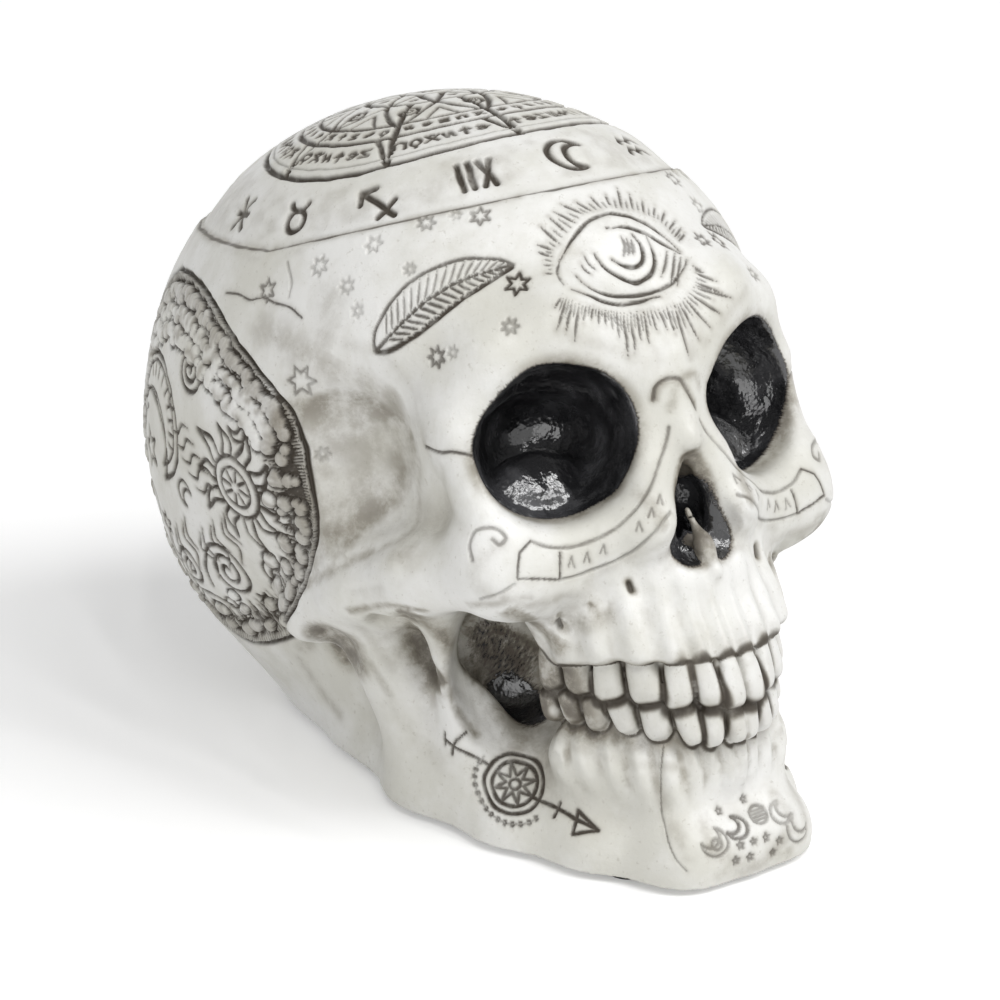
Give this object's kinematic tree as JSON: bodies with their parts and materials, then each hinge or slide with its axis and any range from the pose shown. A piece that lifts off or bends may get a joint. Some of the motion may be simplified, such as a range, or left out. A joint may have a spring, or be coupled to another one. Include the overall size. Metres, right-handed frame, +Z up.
{
  "type": "skull decoration",
  "caption": "Life-size human skull ornament with a fused toothed jaw, engraved surface, hollow casting, base plug and foot pads.",
  "frame": {"origin": "on the floor under the middle of the overall box", "axes": "the skull faces -Y, +X is to its left side, +Z is up; the flat base rests on the pads"},
  "size_m": [0.1424, 0.2198, 0.1663],
  "materials": {
    "painted_resin": "satin ivory paint with dark brown wash in the engraving and gloss black sockets",
    "plug_plastic": "matt",
    "pad_foam": "matt"
  },
  "bodies": {
    "root": {"skull_casting": "painted_resin", "base_plug": "plug_plastic", "foot_pad_front_left": "pad_foam", "foot_pad_front_right": "pad_foam", "foot_pad_rear_left": "pad_foam", "foot_pad_rear_right": "pad_foam"}
  },
  "joints": []
}
